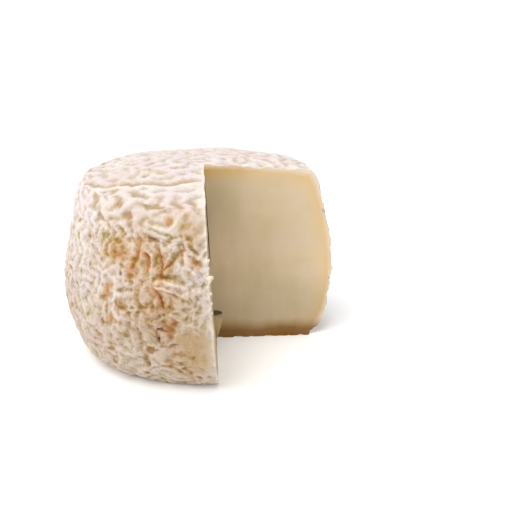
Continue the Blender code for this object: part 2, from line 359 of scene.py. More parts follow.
DENTS = (
    (138, 193, 11, 4), (154, 206, 14, 4), (92, 201, 5, 10), (118, 204, 4, 7), (126, 217, 6, 5),
    (97, 217, 5, 6), (178, 204, 6, 6), (194, 200, 7, 4), (91, 179, 6, 3), (108, 181, 9, 3),
    (133, 180, 12, 3), (168, 180, 12, 3), (152, 222, 8, 3), (148, 180, 6, 3), (83, 199, 4, 4),
)
SMOOTH_PATCHES = ((196, 346, 21, 16), (204, 362, 14, 12))
FLAKES = ((162, 359, 9, 9),)
print("marks:", len(CRESTS), "crests,", len(PITS), "pits and", len(DENTS), "dents")

# %% Look them up on the drum
SEEN_FROM = 0.12
SEEN_FULLY = 0.4
PATCH_CORE = 0.4
PATCH_END = 1.3


def between(value, low, high):
    """0 below low, 1 above high, and a smooth step from one to the other."""
    share = np.clip((value - low) / (high - low), 0, 1)
    return share * share * (3 - 2 * share)


def front_view(points, normals):
    """Pixels of the points in the front view, and how squarely they face it, from 0 to 1."""
    right = np.array((math.cos(VIEW_TURN), math.sin(VIEW_TURN), 0))
    ahead = np.array((-math.sin(VIEW_TURN), math.cos(VIEW_TURN), 0)) * math.sin(VIEW_TILT)
    ahead[2] = -math.cos(VIEW_TILT)
    upward = np.cross(right, ahead)
    ray = points - VIEW_EYE
    depth = ray @ ahead
    pixels = np.stack([VIEW_SIZE / 2 + VIEW_FOCUS * (ray @ right) / depth,
                       VIEW_SIZE / 2 - VIEW_FOCUS * (ray @ upward) / depth], 1)
    facing = -np.einsum("ij,ij->i", ray, normals) / np.linalg.norm(ray, axis=1)
    return pixels, between(facing, SEEN_FROM, SEEN_FULLY)


def near_lines(pixels, lines, width):
    """1 on the given lines of the front view, falling to 0 at about twice their width."""
    closest = np.full(len(pixels), np.inf)
    for line in lines:
        for start, end in zip(np.array(line[:-1], float), np.array(line[1:], float)):
            run = end - start
            share = np.clip((pixels - start) @ run / (run @ run), 0, 1)
            gap = np.linalg.norm(pixels - start - share[:, None] * run, axis=1)
            closest = np.minimum(closest, gap)
    return np.exp(-(closest / width) ** 2)


def near_spots(pixels, spots):
    """1 in the middle of the given round spots of the front view, falling off beyond their radius."""
    field = np.zeros(len(pixels))
    for x, y, radius in spots:
        gap = np.linalg.norm(pixels - (x, y), axis=1)
        field = np.maximum(field, np.exp(-(gap / radius) ** 2))
    return field


def near_patches(pixels, patches, wander):
    """1 inside the given ellipses of the front view, 0 outside, with a soft wandering edge."""
    field = np.zeros(len(pixels))
    for x, y, half_width, half_height in patches:
        reach = np.hypot((pixels[:, 0] - x) / half_width, (pixels[:, 1] - y) / half_height)
        field = np.maximum(field, 1 - between(reach + wander, PATCH_CORE, PATCH_END))
    return field


pixels, seen = front_view(points, normals)
crease = seen * near_lines(pixels, CREASES, CREASE_WIDTH)
crack = seen * near_lines(pixels, CRACKS, CRACK_WIDTH)
hole = seen * near_spots(pixels, HOLES)
crest = seen * near_lines(pixels, CRESTS, CREST_WIDTH)
ridge = seen * near_lines(pixels, CRESTS, RIDGE_WIDTH)
pit = seen * near_spots(pixels, PITS)
print("points on a crease:", int((crease > 0.5).sum()), "on a crest:", int((crest > 0.5).sum()))

# %% [markdown]
# ## Growing the folds
#
# A skin that grows on a soft body buckles with one favourite spacing, and the Swift-Hohenberg
# equation is the textbook model of that: small random bumps grow until they settle into folds of
# that spacing, branching and ending as brain and rind folds do. We could paint noise instead,
# but noise has no even crests. The growth is stopped early, while it is still disorderly. On a
# mesh, the equation only needs each point's neighbours. The marks push on it all the while, so
# that a crease or a crest grows where it was seen.

# %% Find each point's neighbours
MOST_NEIGHBOURS = 6


def neighbours(mesh):
    """For each vertex the vertices one edge away, filled up with the vertex itself."""
    ends = np.empty(len(mesh.edges) * 2, dtype=np.int64)
    mesh.edges.foreach_get("vertices", ends)
    ends = ends.reshape(-1, 2)
    near = np.concatenate([ends, ends[:, ::-1]])
    near = near[np.argsort(near[:, 0], kind="stable")]
    count = np.bincount(near[:, 0], minlength=len(mesh.vertices))
    first = np.concatenate([[0], np.cumsum(count)[:-1]])
    slot = np.arange(len(near)) - first[near[:, 0]]
    table = np.repeat(np.arange(len(mesh.vertices))[:, None], MOST_NEIGHBOURS, axis=1)
    table[near[:, 0], slot] = near[:, 1]
    return table


table = neighbours(drum.data)
print("neighbours:", table.shape)

# %% Random fields that don't depend on the mesh
SEED = 7
WAVE_SPREAD = (0.6, 1.4)
EDGE_WANDER = 0.22


def soft_noise(points, size, seed, waves=24):
    """A smooth random field with bumps of about the given size, from waves in random directions."""
    rng = np.random.RandomState(seed)
    way = rng.standard_normal((waves, 3))
    longer = rng.uniform(*WAVE_SPREAD, (waves, 1))
    way *= 2 * math.pi / size * longer / np.linalg.norm(way, axis=1)[:, None]
    phase = rng.uniform(0, 2 * math.pi, waves)
    total = np.zeros(len(points))
    for direction, start in zip(way, phase):
        total += np.cos(points @ direction + start)
    return total / math.sqrt(waves / 2)


wander = EDGE_WANDER * soft_noise(points, 3 * MM, SEED + 20)
smooth = seen * near_patches(pixels, SMOOTH_PATCHES, wander)
flake = seen * near_patches(pixels, FLAKES, wander)
dent = seen * near_patches(pixels, DENTS, 0.5 * wander)
print("points on smooth rind:", int((smooth > 0.5).sum()), "on flakes:", int((flake > 0.5).sum()))

# %% The growth itself
GROWTH = 0.6
BUMPINESS = -0.5
UNEVENNESS = 0.3
START_SIZE = 0.3
START_PUSH = 0.5
FOLD_LIMIT = 1.8
MANY_WAVES = 160
SHORTEST_EDGE = 0.3 * MM
LONGEST_STEP = 0.1


def grow_folds(spacing, stretch, growth, push, time, seed):
    """Let a random start settle into folds of the given spacing: a Swift-Hohenberg pattern.

    The stretch draws folds out round the drum where it is positive, up and down where negative.
    The push is a steady force that holds crests and creases in place.
    """
    edge = points[table] - points[:, None, :]
    square = (edge ** 2).sum(2)
    real = table != np.arange(len(points))[:, None]
    mean_square = np.maximum(square.sum(1) / real.sum(1), SHORTEST_EDGE ** 2)
    round_way = np.stack([-points[:, 1], points[:, 0], 0 * points[:, 0]], 1)
    round_way /= np.linalg.norm(round_way, axis=1)[:, None] + 1e-9
    lined_up = np.einsum("ijk,ik->ij", edge, round_way) / np.sqrt(square + 1e-18)
    weight = (1 + stretch[:, None] * (2 * lined_up ** 2 - 1)) * real
    weight *= (4 / weight.sum(1) / mean_square * (spacing / (2 * math.pi)) ** 2)[:, None]
    total = weight.sum(1)

    def curve(field):
        return np.einsum("ij,ij->i", weight, field[table]) - total * field

    # With a longer step than this, the shortest waves would run away
    step = min(LONGEST_STEP, 1.7 / (1.6 * total.max() - 1) ** 2)
    typical = float(np.median(spacing))
    fold = START_SIZE * soft_noise(points, typical, seed, MANY_WAVES) + START_PUSH * push
    force = UNEVENNESS * soft_noise(points, typical, seed + 1, MANY_WAVES) + push
    for _ in range(int(time / step)):
        bend = curve(fold)
        change = growth * fold - (fold + 2 * bend + curve(bend)) + BUMPINESS * fold ** 2 - fold ** 3
        fold = np.clip(fold + step * (change + force), -FOLD_LIMIT, FOLD_LIMIT)
    return fold

# %% [markdown]
# ## Folds of different sizes
#
# The folds aren't the same all over. They are broadest on the domed top, where they are drawn
# out round the drum, smaller on the shoulder and finest in the middle of the side. Near the foot
# and at the left edge they are broader again. Two more fields join in: fine crinkles that ride
# on the folds, and long random creases for the sides that no picture shows. Each random field
# adds its own number to the seed.

# %% Choose the spacing
TOP_FOLD = 3.5 * MM
SHOULDER_FOLD = 2.5 * MM
SIDE_FOLD = 1.5 * MM
LOW_FOLD = 1.95 * MM
TOP_ZONE = (38.0 * MM, 39.0 * MM)
UPPER_ZONE = (31.5 * MM, 36 * MM)
LOW_ZONE = (13 * MM, 21 * MM)
LEFT_EDGE = (82, 118)
BROADER = 0.6
SPACING_CHANGE = 0.15

on_top = between(points[:, 2], *TOP_ZONE)
upper = between(points[:, 2], *UPPER_ZONE)
low = 1 - between(points[:, 2], *LOW_ZONE)
spacing = SIDE_FOLD + (SHOULDER_FOLD - SIDE_FOLD) * upper
spacing += (TOP_FOLD - SHOULDER_FOLD) * on_top + (LOW_FOLD - SIDE_FOLD) * low
spacing *= 1 + SPACING_CHANGE * np.clip(soft_noise(points, 9 * MM, SEED + 1), -1.2, 1.2)
broad = seen * (1 - between(pixels[:, 0], *LEFT_EDGE))
broad += (1 - seen) * between(soft_noise(points, 24 * MM, SEED + 5), 0.2, 1.0)
spacing *= 1 + BROADER * broad * (1 - upper)
print("spacing, mm:", round(spacing.min() / MM, 2), "to", round(spacing.max() / MM, 2))

# %% Grow the folds and the crinkles
TOP_STRETCH = 0.3
STRETCH_CHANGE = 0.2
LONG_LINE_WIDTH = 0.07
CREST_PUSH = 0.25
UPPER_CREST_PUSH = 0.3
CREASE_PUSH = 0.2
UPPER_CREASE_PUSH = 0.5
PIT_PUSH = 0.4
LONG_PUSH = 0.5
CALMING = 0.6
FOLD_TIME = 4.5
CRINKLE = 0.95 * MM
CRINKLE_GROWTH = 0.3
CRINKLE_TIME = 2.0

stretch = TOP_STRETCH * on_top + STRETCH_CHANGE * np.clip(soft_noise(points, 11 * MM, SEED + 2), -1, 1)
long_lines = np.exp(-(soft_noise(points, 13 * MM, SEED + 3) / LONG_LINE_WIDTH) ** 2)
long_lines *= np.sign(soft_noise(points, 25 * MM, SEED + 4)) * (1 - seen)
push = (CREST_PUSH + UPPER_CREST_PUSH * upper) * crest
push -= (CREASE_PUSH + UPPER_CREASE_PUSH * upper) * crease
push -= PIT_PUSH * pit
push += LONG_PUSH * long_lines
calm = np.maximum(smooth, flake)
growth = GROWTH * (1 - CALMING * calm) * (1 - 0.1 * upper)
folds = grow_folds(spacing, stretch, growth, push, FOLD_TIME, SEED)
none = np.zeros(len(points))
crinkles = grow_folds(none + CRINKLE, none, none + CRINKLE_GROWTH, none, CRINKLE_TIME, SEED + 30)
print("folds from", round(folds.min(), 2), "to", round(folds.max(), 2))

# %% [markdown]
# ## From folds to a surface
#
# The field is turned into a height that only goes inwards, so that the drum keeps its outline.
# A power makes the crests plump and the creases narrow. The marks are pressed in on top of it,
# with stray pits and low bulges at random places, because folds alone look woven. The foot
# stays flat where it stands.

# %% Work out the relief
FOLD_DEPTH = 0.3 * MM
SHOULDER_DEPTH = 0.65
TOP_DEPTH = 1.6
LOW_DEPTH = 0.95
TOP_PLUMPNESS = 1.4
SIDE_PLUMPNESS = 0.8
CRINKLE_SHARE = 0.33
TOP_CRINKLE_SHARE = 0.08
DEPTH_CHANGE = 0.15
CREASE_DEPTH = 0.12 * MM
CRACK_DEPTH = 0.3 * MM
HOLE_DEPTH = 0.9 * MM
RIDGE_HEIGHT = 0.12 * MM
PIT_DEPTH = 0.3 * MM
DENT_DEPTH = 0.25 * MM
STRAY_DEPTH = 0.25 * MM
STRAY_SIZE = 2.3 * MM
LUMP_HEIGHT = 0.25 * MM
LUMP_SIZE = 22.0 * MM
BULGE_HEIGHT = 0.14 * MM
BULGE_SIZE = 4.0 * MM
BULGE_LIMIT = 1.5


def level(field):
    """The field centred on 0, with most of it between -1 and 1."""
    centred = field - field.mean()
    return np.clip(centred / np.percentile(np.abs(centred), 90), -1.3, 1.3)


hollow = (1 - np.clip(level(folds), -1, 1)) / 2
plumpness = SIDE_PLUMPNESS + (TOP_PLUMPNESS - SIDE_PLUMPNESS) * upper
fine = (1 - level(crinkles)) / 2
crinkle_share = CRINKLE_SHARE + (TOP_CRINKLE_SHARE - CRINKLE_SHARE) * upper
height = -hollow ** plumpness - 2 * crinkle_share * fine
depth = 1 + (SHOULDER_DEPTH - 1) * upper + (TOP_DEPTH - SHOULDER_DEPTH) * on_top + (LOW_DEPTH - 1) * low
depth *= FOLD_DEPTH
depth *= (1 + DEPTH_CHANGE * soft_noise(points, 12 * MM, SEED + 6)) * (1 - CALMING * calm)
lumps = LUMP_HEIGHT * np.minimum(soft_noise(points, LUMP_SIZE, SEED + 7) - 1, 0)
bulges = np.clip(soft_noise(points, BULGE_SIZE, SEED + 9, MANY_WAVES), -BULGE_LIMIT, BULGE_LIMIT)
below_shoulder = 1 - 0.8 * upper
lumps += BULGE_HEIGHT * (bulges - BULGE_LIMIT) * below_shoulder
underside = 1 - between(points[:, 2], -SUNK, SUNK)
stray = between(soft_noise(points, STRAY_SIZE, SEED + 8, MANY_WAVES), 0.9, 2.0)
stray = stray * below_shoulder * (1 - calm)
marks = RIDGE_HEIGHT * ridge - CREASE_DEPTH * crease - CRACK_DEPTH * crack - STRAY_DEPTH * stray
marks -= HOLE_DEPTH * hole + PIT_DEPTH * pit + DENT_DEPTH * dent
relief = (height * depth + marks + lumps) * (1 - underside)
print("deepest fold, mm:", round(-relief.min() / MM, 2))

# %% Move the points
SWAY = 0.22 * MM
SWAY_SIZE = 6.0 * MM
PRESSED_DEPTH = 0.3 * MM
STILL_FOOT = 3 * MM

sway = np.stack([soft_noise(points, SWAY_SIZE, SEED + 10 + axis) for axis in range(3)], 1) * SWAY
sway -= normals * np.einsum("ij,ij->i", sway, normals)[:, None]
sway *= between(points[:, 2], -SUNK, STILL_FOOT)[:, None]
moved = points + normals * relief[:, None] + sway
moved[:, 2] = np.maximum(moved[:, 2], 0) + PRESSED_DEPTH * underside * hollow ** 2
drum.data.vertices.foreach_set("co", moved.ravel())
drum.data.update()
print("wrinkled drum, mm:", np.round(moved.min(0) / MM, 2), np.round(moved.max(0) / MM, 2))

# %% [markdown]
# ## Where the rind has ripened
#
# The rind is nearly white where it is dry and on the crests. The hollows stay damp, and there
# it turns tan, then ochre, and rusty where it is oldest. The front is the ripest, with orange
# cracks and olive-gold pits whose places were read off the front view. The stray pits are orange
# or olive too. On the sides that aren't seen, random fields of the same size take over, so the
# cheese is finished all the way round.

# %% Note the ripe places
RIPE_SPOTS = ((150, 264, 38), (190, 236, 24), (112, 252, 22), (160, 305, 38), (190, 350, 26))
ORANGE_LINES = (
    *MIDDLE_CRACKS,
    ((136, 238), (135, 250), (131, 262), (128, 277)),
    ((142, 255), (148, 261), (147, 268)),
    ((100, 297), (104, 290), (107, 285)),
    ((177, 325), (169, 330), (171, 339)),
)
ORANGE_WIDTH = 3.5
ORANGE_SPOTS = (
    (135, 251, 5), (167, 221, 4), (195, 264, 7), (118, 255, 5), (110, 318, 4), (168, 369, 3),
    (185, 371, 2), (190, 378, 2), (120, 305, 4), (128, 217, 3), (181, 258, 3),
)
OLIVE_SPOTS = (
    (103, 236, 6), (114, 243, 5), (120, 229, 3), (172, 277, 5), (121, 308, 4), (145, 360, 4),
    (182, 226, 6), (192, 225, 6), (155, 226, 5), (188, 237, 3), (154, 280, 5), (192, 247, 4),
    (153, 241, 4), (110, 254, 5), (197, 313, 4), (156, 337, 4), (109, 349, 4), (145, 343, 3),
)
print("ripe places:", len(RIPE_SPOTS), "tan,", len(ORANGE_SPOTS), "orange,", len(OLIVE_SPOTS), "olive")

# %% Work out the fields
GROOVE_PARTS = (
    (0.6, hollow ** plumpness), (0.25, fine), (0.3, crease), (0.5, pit), (0.3, dent), (-0.3, ridge),
    (0.5, stray),
)
SIDE_STARTS = (3 * MM, 10 * MM)
SIDE_ENDS = (24 * MM, 32 * MM)
LOWER_SHADE_ZONE = (6 * MM, 34 * MM)
SMOOTH_SHOULDER = 0.7
STRAY_ORANGE = 0.7
STRAY_OLIVE = 1.2

groove = sum(share * values for share, values in GROOVE_PARTS)
groove = np.clip(groove * (1 - 0.5 * calm), 0, 1)
hidden = 1 - seen
side = between(points[:, 2], *SIDE_STARTS) * (1 - between(points[:, 2], *SIDE_ENDS))
ripe = seen * near_spots(pixels, RIPE_SPOTS)
ripe += hidden * side * between(soft_noise(points, 24 * MM, SEED + 40), -0.4, 1.2)
orange = np.maximum(near_lines(pixels, ORANGE_LINES, ORANGE_WIDTH), near_spots(pixels, ORANGE_SPOTS))
orange = seen * orange
orange += hidden * ripe * between(soft_noise(points, 5 * MM, SEED + 41), 0.9, 1.7)
olive = seen * near_spots(pixels, OLIVE_SPOTS)
olive += hidden * side * between(soft_noise(points, 5 * MM, SEED + 42), 1.1, 1.8)
stray_kind = between(soft_noise(points, 6 * MM, SEED + 43), -0.3, 0.9)
orange += STRAY_ORANGE * stray * stray_kind
olive += STRAY_OLIVE * stray * (1 - stray_kind)
rust = np.maximum(np.maximum(crack, hole), 0.8 * hidden * orange * hollow ** 2)
# Painted shade: the rind is made darker and warmer towards the bottom, where its lower side lies in
# shade.
lower_shade = 1 - between(points[:, 2], *LOWER_SHADE_ZONE)
rough = 1 - SMOOTH_SHOULDER * upper
rind_fields = {
    "groove": groove, "rough": rough, "crest": ridge, "ripe": ripe, "orange": orange,
    "olive": olive, "rust": rust, "smooth": smooth, "lower_shade": lower_shade,
}
for name, values in rind_fields.items():
    print(name, "covers", round(float((values > 0.5).mean()) * 100, 1), "% of the points")

# %% [markdown]
# ## Cutting out the quarter
#
# The knife went down twice: once along the back of the notch, and once along its left side,
# where it drifted a little outwards near the foot. The soft foot of the back wall has come
# forwards a little. The cutter is a block with those two walls. Its plan is drawn as one face,
# extruded up, and its walls are then cut into small squares, so that the cut faces have points
# enough to carry the knife's faint waves. A Boolean takes the block out of the drum. The
# Manifold solver is the one that copes with so fine a mesh.

# %% Draw the block
CUT_X_TOP = 1.1 * MM
CUT_LEAN = 2.0 * MM
CUT_BOW = 1.7
CUT_TURN = 0.008
CUT_PIVOT = -13.0 * MM
FOOT_LIP = 2.5 * MM
FOOT_LIP_HEIGHT = 8.0 * MM
CUT_REACH = 45.0 * MM
CUT_SQUARE = 0.75 * MM
BLOCK_BELOW = MM


def cutter_from(bm, name):
    """Turn a bmesh into a cutter, whose faces leave paste, the second material, on what they cut."""
    for face in bm.faces:
        face.material_index = 1
    return object_from(bm, name, rind, paste)


def left_wall(y, z):
    """Where the left cut stands: it drifts outwards towards the foot and towards the corner."""
    drift = CUT_LEAN * (1 - np.clip(z / FULL_HEIGHT, 0, 1)) ** CUT_BOW
    return CUT_X_TOP + drift + CUT_TURN * (y - CUT_PIVOT)


def back_wall(z):
    """Where the back cut stands: its foot comes forwards a little."""
    return -FOOT_LIP * (1 - np.clip(z / FOOT_LIP_HEIGHT, 0, 1)) ** 2


def knife_block():
    """A block as large as the missing quarter, with finely divided walls."""
    bm = bmesh.new()
    plan = [bm.verts.new(place) for place in (
        (0, 0, 0), (0, -CUT_REACH, 0), (CUT_REACH, -CUT_REACH, 0), (CUT_REACH, 0, 0))]
    base = bm.faces.new(plan)
    near = [edge for edge in base.edges if plan[0] in edge.verts]
    bmesh.ops.subdivide_edges(bm, edges=near, cuts=round(CUT_REACH / CUT_SQUARE))
    grown = bmesh.ops.extrude_face_region(bm, geom=bm.faces[:])["geom"]
    top = [item for item in grown if isinstance(item, bmesh.types.BMVert)]
    bmesh.ops.translate(bm, verts=top, vec=(0, 0, CUT_REACH))
    upright = [edge for edge in bm.edges if abs(edge.verts[0].co.z - edge.verts[1].co.z) > MM]
    bmesh.ops.subdivide_edges(bm, edges=upright, cuts=round(CUT_REACH / CUT_SQUARE))
    for vert in bm.verts:
        vert.co.z -= BLOCK_BELOW
        vert.co.x += left_wall(vert.co.y, vert.co.z) * (1 - vert.co.x / CUT_REACH)
        vert.co.y += back_wall(vert.co.z) * (1 + vert.co.y / CUT_REACH)
    bmesh.ops.recalc_face_normals(bm, faces=bm.faces[:])
    return cutter_from(bm, "knife_block")


knife = knife_block()
print("block:", len(knife.data.polygons), "faces")

# %% Take it out


def cut_out(thing, block):
    """Take the block out of the thing, apply the result and delete the block."""
    modifier = thing.modifiers.new("cut", "BOOLEAN")
    modifier.operation = "DIFFERENCE"
    modifier.solver = "MANIFOLD"
    modifier.object = block
    depsgraph = bpy.context.evaluated_depsgraph_get()
    result = bpy.data.meshes.new_from_object(thing.evaluated_get(depsgraph))
    thing.modifiers.clear()
    thing.data = result
    bpy.data.objects.remove(block)
    print(thing.name, "has", len(result.polygons), "faces after the cut")


cut_out(drum, knife)
cheese = drum
cheese.name = "wrinkled_cheese"

# %% [markdown]
# ## Where the two cuts meet
#
# In the corner, the first cut ran on a little past the second one and left a narrow slit in the
# back wall, which leans along the edge. Lower down, the wedge tore free and left a small open
# tear. Both are dark because they are deep, so they are really cut in: a stretched ball is taken
# out of the cheese.

# %% Cut the slit and the tear
SLIT_MIDDLE = 26.0 * MM
SLIT_SIZE = Vector((0.18, 0.9, 9.5)) * MM
SLIT_ASIDE = 0.07 * MM
SLIT_LEAN = -0.009
TEAR_MIDDLE = 5.2 * MM
TEAR_SIZE = Vector((2.4, 1.3, 0.7)) * MM
TEAR_ASIDE = -0.5 * MM


def stretched_ball(size, height, aside, lean, name):
    """A ball of the given half sizes that follows the left wall at the back of the notch."""
    bm = bmesh.new()
    bmesh.ops.create_icosphere(bm, subdivisions=4, radius=1.0)
    bmesh.ops.scale(bm, verts=bm.verts[:], vec=size)
    bmesh.ops.translate(bm, verts=bm.verts[:], vec=(aside, 0, height))
    for vert in bm.verts:
        vert.co.x += left_wall(0, vert.co.z) + lean * (vert.co.z - height)
    return cutter_from(bm, name)


cut_out(cheese, stretched_ball(SLIT_SIZE, SLIT_MIDDLE, SLIT_ASIDE, SLIT_LEAN, "slit_tool"))
cut_out(cheese, stretched_ball(TEAR_SIZE, TEAR_MIDDLE, TEAR_ASIDE, 0, "tear_tool"))

# %% [markdown]
# ## Waves left by the knife
#
# A knife never leaves a perfect plane in soft paste: it drags, lifts small flakes and leaves
# broad low waves. The points of the two cut faces are moved in and out by about a tenth of a
# millimetre. The rind's points stay where they are.

# %% Move the cut faces
WAVE_HEIGHT = 0.07 * MM
WAVE_SIZE = 8 * MM
DRAG_HEIGHT = 0.04 * MM
DRAG_SIZE = 2 * MM
DRAG_STRETCH = (1, 1, 0.35)
WALL_INSET = 0.1 * MM
ON_WALL = 0.01 * MM


def whole_numbers(items, name):
    """A whole number from each item of a mesh, as an array."""
    values = np.empty(len(items), dtype=np.int32)
    items.foreach_get(name, values)
    return values


def cut_points(mesh):
    """The numbers of the points on each cut wall: the back one and the left one."""
    finish = np.repeat(whole_numbers(mesh.polygons, "material_index"),
                       whole_numbers(mesh.polygons, "loop_total"))
    on_cut = np.unique(whole_numbers(mesh.loops, "vertex_index")[finish == 1])
    at = corners(mesh)[on_cut]
    back = np.abs(at[:, 1] - back_wall(at[:, 2])) < ON_WALL
    left = np.abs(at[:, 0] - left_wall(at[:, 1], at[:, 2])) < ON_WALL
    return on_cut[back], on_cut[left & ~back]


back_points, left_points = cut_points(cheese.data)
cut_shape = corners(cheese.data)
for numbers, axis, outward in ((back_points, 1, -1), (left_points, 0, 1)):
    place = cut_shape[numbers].copy()
    place[:, axis] = 0
    waves = WAVE_HEIGHT * soft_noise(place, WAVE_SIZE, SEED + 50 + axis)
    waves += DRAG_HEIGHT * soft_noise(place * DRAG_STRETCH, DRAG_SIZE, SEED + 52 + axis)
    cut_shape[numbers, axis] += outward * (waves - WALL_INSET)
cheese.data.vertices.foreach_set("co", cut_shape.ravel())
cheese.data.update()
print("points on the cuts:", len(back_points), "and", len(left_points))

# %% [markdown]
# ## Carrying the fields over
#
# The Boolean has made new points, so the fields of the rind are looked up again: each point of
# the cut cheese takes the values of the nearest point of the whole drum. Inside, what matters
# is how deep under the rind the paste lies, because it ripens from the rind inwards.

# %% Look the fields up
from mathutils import kdtree

PASTE_STEP = 6
CORNER_ACROSS = (3 * MM, 16 * MM)
CORNER_UP = (20 * MM, 32 * MM)
FOOT_UP = (5 * MM, 17 * MM)
BACK_FROM = (-14 * MM, -3 * MM)
FAR_FROM_CUT = 5

finder = kdtree.KDTree(len(moved))
for number, place in enumerate(moved):
    finder.insert(place, number)
finder.balance()
nearest = np.array([finder.find(place)[1] for place in cut_shape])


def note(mesh, name, values):
    """Keep a number for each point of a mesh, for its materials."""
    attribute = mesh.attributes.new(name, "FLOAT", "POINT")
    attribute.data.foreach_set("value", np.asarray(values, np.float32))


def depth_inside(places):
    """How far each point lies inside the smooth drum, in millimetres."""
    across = np.hypot(places[:, 0], places[:, 1])
    deep = np.full(len(places), np.inf)
    for r, z in zip(outline_r[::PASTE_STEP], outline_z[::PASTE_STEP]):
        deep = np.minimum(deep, np.hypot(across - r, places[:, 2] - z))
    return deep / MM


for name, values in rind_fields.items():
    note(cheese.data, name, values[nearest])
under_rind = depth_inside(cut_shape)
note(cheese.data, "under_rind", under_rind)
beside = left_wall(cut_shape[:, 1], cut_shape[:, 2]) - cut_shape[:, 0]
from_left = np.where(cut_shape[:, 1] < 0, beside, np.inf)
from_back = np.where(beside < 0, cut_shape[:, 1] - back_wall(cut_shape[:, 2]), np.inf)
note(cheese.data, "from_cut", np.clip(np.minimum(from_left, from_back) / MM, 0, FAR_FROM_CUT))
# Painted shade: the paste is marked for darkening in the upper corner beside the left wall and low
# down, where shade falls in the notch.
corner = (1 - between(cut_shape[:, 0], *CORNER_ACROSS)) * between(cut_shape[:, 2], *CORNER_UP)
lower = 1 - between(cut_shape[:, 2], *FOOT_UP)
note(cheese.data, "painted_shade", np.maximum(corner, lower))
note(cheese.data, "back", between(cut_shape[:, 1], *BACK_FROM))
print("deepest paste, mm:", round(float(under_rind.max()), 1))

# %% [markdown]
# ## The rind's finish
#
# Cheese isn't opaque: light enters the crests and comes out again a millimetre away, which
# keeps the folds soft. That is the Principled shader's subsurface share. The colour comes from
# two ramps over the depth of the grooves, one for dry rind and one for ripe rind, mixed by the
# fields. Painted shade low on the side, and orange and olive places, are tints that multiply it,
# so that the grooves still show. A net of small pits stands for crinkles that are too fine for
# the mesh, and a pale rim runs along the cut: partly the rind's own pale edge, partly a painted
# highlight on it.

# %% Helpers for building materials


def colour(red, green, blue):
    """A colour as a colour picker shows it, from 0 to 255, made linear for a socket."""
    picked = np.array((red, green, blue)) / 255
    linear = np.where(picked <= 0.04045, picked / 12.92, ((picked + 0.055) / 1.055) ** 2.4)
    return (*map(float, linear), 1.0)


def start_material(material):
    """Empty a material's nodes and give back its tree with one Principled shader."""
    material.use_nodes = True
    tree = material.node_tree
    tree.nodes.clear()
    shader = tree.nodes.new("ShaderNodeBsdfPrincipled")
    output = tree.nodes.new("ShaderNodeOutputMaterial")
    tree.links.new(shader.outputs["BSDF"], output.inputs["Surface"])
    return tree, shader


def field(tree, name):
    """The value kept on the mesh under a name."""
    return make(tree, "Attribute", {}, attribute_name=name)["Fac"]


def here(tree):
    """The place on the object."""
    return make(tree, "TexCoord", {})["Object"]


print("white as a picker shows it:", colour(255, 255, 255))

# %% Helpers for sums and colours


def calculate(kind, first, second):
    """A Math node on two values."""
    return make(first.id_data, "Math", {0: first, 1: second}, operation=kind)["Value"]


def plus(first, second):
    """Two values added."""
    return calculate("ADD", first, second)


def times(first, second):
    """Two values multiplied."""
    return calculate("MULTIPLY", first, second)


def ramp(value, stops):
    """A colour ramp with the given places and colours."""
    tree = value.id_data
    node = tree.nodes.new("ShaderNodeValToRGB")
    tree.links.new(value, node.inputs["Fac"])
    bar = node.color_ramp.elements
    while len(bar) < len(stops):
        bar.new(0.5)
    for element, (place, tone) in zip(bar, stops):
        element.position = place
        element.color = tone
    return node.outputs["Color"]


def share_ramp(value, *stops):
    """A ramp of shares from 0 to 1, kept as greys."""
    return ramp(value, [(place, (share, share, share, 1.0)) for place, share in stops])


def blend(share, first, second, kind="MIX"):
    """Two colours mixed by a share."""
    inputs = {0: share, 6: first, 7: second}
    return make(share.id_data, "Mix", inputs, data_type="RGBA", blend_type=kind)[2]

# %% Helpers for noise and surfaces
NOISE_LOW = 0.3
NOISE_HIGH = 0.7
PIT_WOBBLE = 1.2
PIT_RIDGE = 0.4


def mottle(tree, size, detail=3.0, low=0.0, high=1.0):
    """Noise over the object with patches of about the given size, stretched to a range."""
    noise = make(tree, "TexNoise", {"Vector": here(tree), "Scale": 0.5 / size, "Detail": detail})
    return make(tree, "MapRange", {
        "Value": noise["Fac"], "From Min": NOISE_LOW, "From Max": NOISE_HIGH,
        "To Min": low, "To Max": high})["Result"]


def uneven(value, size, by, detail=2.0):
    """The value moved up and down by noise, so that its borders wander."""
    return plus(value, mottle(value.id_data, size, detail, -by, by))


def crinkle_pits(tree, size):
    """A net of thin ridges round small pits, from 0 on a ridge to 1 in a pit."""
    position = here(tree)
    wobble = make(tree, "TexNoise", {"Vector": position, "Scale": 0.7 / size})
    reach = (PIT_WOBBLE * size,) * 3
    shifted = make(tree, "VectorMath", {0: wobble["Color"], 1: reach, 2: position},
                   operation="MULTIPLY_ADD")
    cells = make(tree, "TexVoronoi", {"Vector": shifted["Vector"], "Scale": 1 / size},
                 feature="DISTANCE_TO_EDGE")
    return make(tree, "MapRange", {"Value": cells["Distance"], "From Max": PIT_RIDGE})["Result"]


def bumps(shader, height, distance):
    """Let a height field tilt the shading normal, as if it were as high as the distance."""
    bump = make(height.id_data, "Bump", {"Height": height, "Distance": distance})
    height.id_data.links.new(bump["Normal"], shader.inputs["Normal"])


def soft_surface(shader, roughness, weight, radius, scale):
    """Set how matt a surface is, and how far red, green and blue light travel under it."""
    shader.inputs["Roughness"].default_value = roughness
    shader.inputs["Subsurface Weight"].default_value = weight
    shader.inputs["Subsurface Radius"].default_value = radius
    shader.inputs["Subsurface Scale"].default_value = scale

# %% Depth of the rind's grooves
CRINKLE_PIT = 1.1 * MM
PIT_LEVEL = 0.45
PIT_TONE = 0.4

tree, shader = start_material(rind)
pitted = calculate("SUBTRACT", crinkle_pits(tree, CRINKLE_PIT), PIT_LEVEL)
pitted = times(times(pitted, PIT_TONE), field(tree, "rough"))
depth_of_fold = uneven(field(tree, "groove"), 0.7 * MM, 0.1)
depth_of_fold = plus(depth_of_fold, pitted)
print("groove nodes:", len(tree.nodes))
